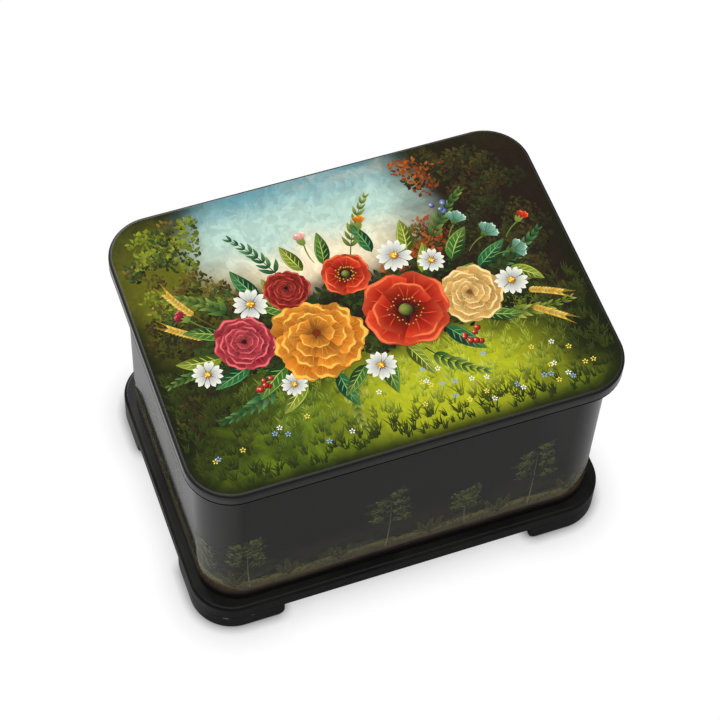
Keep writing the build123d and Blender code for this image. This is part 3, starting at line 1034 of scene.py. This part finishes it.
def paint_flowers(art):
    """The bunch itself. Each flower's last number is the level that it starts at."""
    art.bell(50, 14, 5.6, 0.6, PALE_GREEN, BUD_LEVEL)
    art.bell(57, 5, 5.4, 0.1, PALE_GREEN, BUD_LEVEL)
    art.bell(42, 22, 5.2, 1.0, PALE_GREEN, BUD_LEVEL)
    art.bud(-60, 12, 4.2, 2.4, CRIMSON, BUD_LEVEL)
    art.bud(64, 16, 4.0, 0.7, SCARLET, BUD_LEVEL)
    art.bud(-12, 30, 4.2, 1.7, ROSE_LIGHT, BUD_LEVEL)
    art.bud(9, 31, 4.0, 1.3, GOLD, BUD_LEVEL)
    art.rose(-24, 14, 8.5, WINE, 40)
    art.poppy(-2, 14, 9.5, SCARLET, 40)
    art.daisy(-38, 12, 6.6, 44)
    art.daisy(17, 16, 6.8, 44)
    art.daisy(29, 10, 5.2, 50)
    art.rose(-45, -3, 11.5, CRIMSON, 60)
    art.rose(37, -8, 12.0, SAND, 60)
    art.daisy(-61, -11, 5.6, 60)
    art.daisy(53, -7, 6.2, 66)
    art.poppy(13, -7, 16.0, SCARLET, 80)
    art.peony(-20, -9, 17.0, GOLD, 96)
    art.daisy(-3, -26, 6.0, 60)
    art.daisy(-34, -24, 4.8, 60)


WALL_STEM = shades((84, 78, 58), (146, 138, 112))
WALL_GRASS = shades((84, 82, 42), (92, 94, 44), (124, 124, 66))
WALL_LEAF = shades((46, 52, 24), (96, 106, 48), (142, 150, 82))
WALL_DIM = shades((24, 26, 14), (50, 54, 28), (74, 78, 44))
WALL_SPRIG = shades((54, 50, 30), (98, 96, 50), (128, 126, 80))
# Each slender tree's place round the walls, height and lean, and then the places of the ferns
WALL_TREES = (
    (-61, 30, 0.08), (-9, 34, -0.1), (22, 22, 0.12), (47, 37, -0.05), (92, 28, 0.1), (118, 36, -0.08),
    (146, 25, 0.06), (188, 33, -0.1), (214, 26, 0.1), (252, 36, 0.05), (287, 24, -0.12), (318, 33, 0.08),
    (356, 27, -0.05), (384, 35, 0.1), (411, 23, 0.05),
)
WALL_FERNS = (-46, -27, 8, 35, 64, 105, 133, 171, 201, 233, 270, 301, 338, 369, 398, 424)
SHOOTS = 7
DIM_LEAF_LEVEL = 4
FERN_LEVEL = 9
STEM_LEVEL = 10
WALL_LEAF_LEVEL = 12


def painted_shadow_line_finish():
    """Dull black for a painted shadow line, which stands in for the shade under the lid's rim."""
    finish = Finish("painted_shadow_line_black")
    finish.set(Base_Color=(0.004, 0.0037, 0.0034), Roughness=0.9, IOR=1.1)
    return finish.material


def paint_shadow_line_under_rim():
    """A thin painted shadow line round the lower edge of the lid's rim, which stands in for the shade there.
    """
    line = Sheet("rim_painted_shadow_line", 240, 6, on_rim)
    length = way_round(LID_HALF, LID_CORNER) / MM
    low, high = SHADOW_LINE_SPAN

    def shape(t, s):
        return t * length, low + (high - low) * (s + 1) / 2

    line.add(shape, plain(WHITE), 0)
    line.make(painted_shadow_line_finish(), "lid", "black_lacquer")


def paint_walls(paint):
    """Dim grass, ferns and slender trees that grow up from the foot of all four walls."""
    art = Painting("wall", on_wall)
    paint_wall_grass(art, 520)
    paint_wall_bushes(art, 150)
    for u, tall, lean in WALL_TREES:
        paint_slender_tree(art, u, tall, lean)
    for u in WALL_FERNS:
        for lean in (-0.5, 0.05, 0.6):
            turn = math.pi / 2 + lean + hand.uniform(-0.1, 0.1)
            art.sprig(u, 9.5, hand.uniform(8, 12), turn, -0.5 * lean, 7, 3.4, WALL_SPRIG, FERN_LEVEL)
    art.make(paint, "base", "black_lacquer")


def paint_wall_grass(art, count):
    """Short dim tufts all the way round."""
    for k in range(count):
        u = k * way_round(WALL_HALF, WALL_CORNER) / MM / count + hand.uniform(-0.6, 0.6)
        tones = [blend(tone, LACQUER_BLACK, hand.uniform(0, 0.3)) for tone in WALL_GRASS]
        art.tuft(u, hand.uniform(6.0, 12.5), hand.uniform(1.8, 3.6), 3, tones, 4 * (k % 3))


def paint_wall_bushes(art, count):
    """Low bushes behind the grass, hardly lighter than the lacquer."""
    tones = [blend(tone, LACQUER_BLACK, 0.2) for tone in WALL_DIM]
    for k in range(count):
        u = k * way_round(WALL_HALF, WALL_CORNER) / MM / count + hand.uniform(-1.5, 1.5)
        height = 15.0 + 7.0 * hand.random() ** 2
        art.bush(u, height, hand.uniform(2.4, 4.2), 9, tones, 1, 3.6)


def paint_slender_tree(art, u, tall, lean):
    """One slender stem with side shoots, each with a loose cloud of leaves."""
    line = arc(u, 8.5, tall, math.pi / 2 + lean, -1.6 * lean)
    art.stem(line, 0.55, shaded(WALL_STEM[1], WALL_STEM[0]), STEM_LEVEL)
    for k in range(SHOOTS):
        t = 0.35 + 0.6 * k / (SHOOTS - 1)
        foot_x, foot_y, here = line(t)
        side = -1 if k % 2 else 1
        length = tall * 0.3 * (1.15 - 0.6 * t)
        shoot = arc(foot_x, foot_y, length, here - side * 0.85, side * 0.5)
        art.stem(shoot, 0.3, plain(WALL_STEM[0]), STEM_LEVEL + 1)
        tip_x, tip_y, _ = shoot(0.85)
        size = 2.6 + 1.6 * hand.random()
        art.bush(tip_x, tip_y, size, 12, WALL_DIM, DIM_LEAF_LEVEL, 3.4)
        art.bush(tip_x, tip_y, size, 30, WALL_LEAF, WALL_LEAF_LEVEL, 1.7)


def make_camera():
    """The photograph's view."""
    data = bpy.data.cameras.new("camera")
    data.sensor_width = SENSOR_WIDTH
    data.lens = SENSOR_WIDTH / 2 / math.tan(CAMERA_FIELD / 2)
    data.clip_end = CAMERA_RANGE
    camera = placed("camera", data)
    looking = (CAMERA_AIM - CAMERA_PLACE).to_track_quat("-Z", "Y").to_matrix().to_4x4()
    camera.matrix_world = Matrix.Translation(CAMERA_PLACE) @ looking @ Matrix.Rotation(CAMERA_ROLL, 4, "Z")
    bpy.context.scene.camera = camera


def soft_lamp(name, place, size, power):
    """A square area lamp that looks at the box."""
    data = bpy.data.lights.new(name, "AREA")
    data.shape = "SQUARE"
    data.size = size
    data.energy = power
    lamp = placed(name, data)
    aim = (LAMP_AIM - Vector(place)).to_track_quat("-Z", "Y")
    lamp.matrix_world = Matrix.Translation(place) @ aim.to_matrix().to_4x4()


def make_world():
    """A dim pale room, whose background the camera sees as plain white."""
    world = bpy.data.worlds.new("pale_room")
    world.use_nodes = True
    bpy.context.scene.world = world
    room = Nodes(world.node_tree)
    rays = room.node("LightPath").outputs
    seen = room.math("MAXIMUM", rays["Is Camera Ray"], rays["Is Transmission Ray"])
    background = room.tree.nodes["Background"].inputs
    room.feed(background["Strength"], room.scaled(seen, 0.0, 1.0, WORLD_LIGHT, 1.0))
    room.feed(background["Color"], (1.0, 1.0, 1.0))


def make_floor():
    """A pale floor. The camera sees it near white, with the box's shadow and contact still on it."""
    mesh = bmesh.new()
    bmesh.ops.create_grid(mesh, x_segments=2, y_segments=2, size=FLOOR_SIZE / 2)
    data = mesh_data("floor", mesh)
    floor = placed("floor", data)
    finish = Finish("pale_floor")
    finish.set(Base_Color=(FLOOR_WHITE, FLOOR_WHITE, FLOOR_WHITE), Roughness=0.9, Specular_IOR_Level=0.0)
    contact = finish.node("AmbientOcclusion", {"Distance": CONTACT_REACH}, samples=8).outputs["AO"]
    leaning = {"Distance": SHADOW_REACH, "Normal": SHADOW_LEAN}
    shadow = finish.node("AmbientOcclusion", leaning, samples=12).outputs["AO"]
    shade = finish.math("MULTIPLY", contact, finish.math("POWER", shadow, SHADOW_DEPTH))
    strength = finish.math("MULTIPLY", shade, GLOW_STRENGTH)
    glow = finish.node("Emission", {"Strength": strength}).outputs[0]
    seen = finish.node("LightPath").outputs["Is Camera Ray"]
    share = finish.math("MULTIPLY", seen, FLOOR_GLOW)
    surface = finish.node("MixShader", {0: share, 1: finish.shader.outputs[0], 2: glow}).outputs[0]
    finish.tree.links.new(surface, finish.tree.nodes["Material Output"].inputs["Surface"])
    data.materials.append(finish.material)


def dress(names, material):
    """Gives these pieces of the frame a finish in place of their plain one."""
    for name in names:
        nodes[name].material_slots[0].material = material


make_camera()
make_world()
for lamp_name, lamp in LAMPS.items():
    soft_lamp(lamp_name, *lamp)
make_floor()

feet = [name for name in nodes if name.endswith("_foot")]
hinge = [name for name in nodes if name.startswith("hinge_")]
dress(["plinth_board", *feet], plinth_paint())
dress(["lid_rim"], rim_lacquer())
dress(["body_wall"], wall_lacquer())
dress(["inner_sleeve", "floor_board", "lid_lining"], red_lacquer())
dress(hinge, hinge_brass())
dress(["lid_board"], painted_lid())
strokes = stroke_paint()
paint_lid(strokes)
paint_walls(strokes)
# A painted shadow line under the lid's rim
paint_shadow_line_under_rim()

bpy.context.scene.view_settings.view_transform = "Standard"
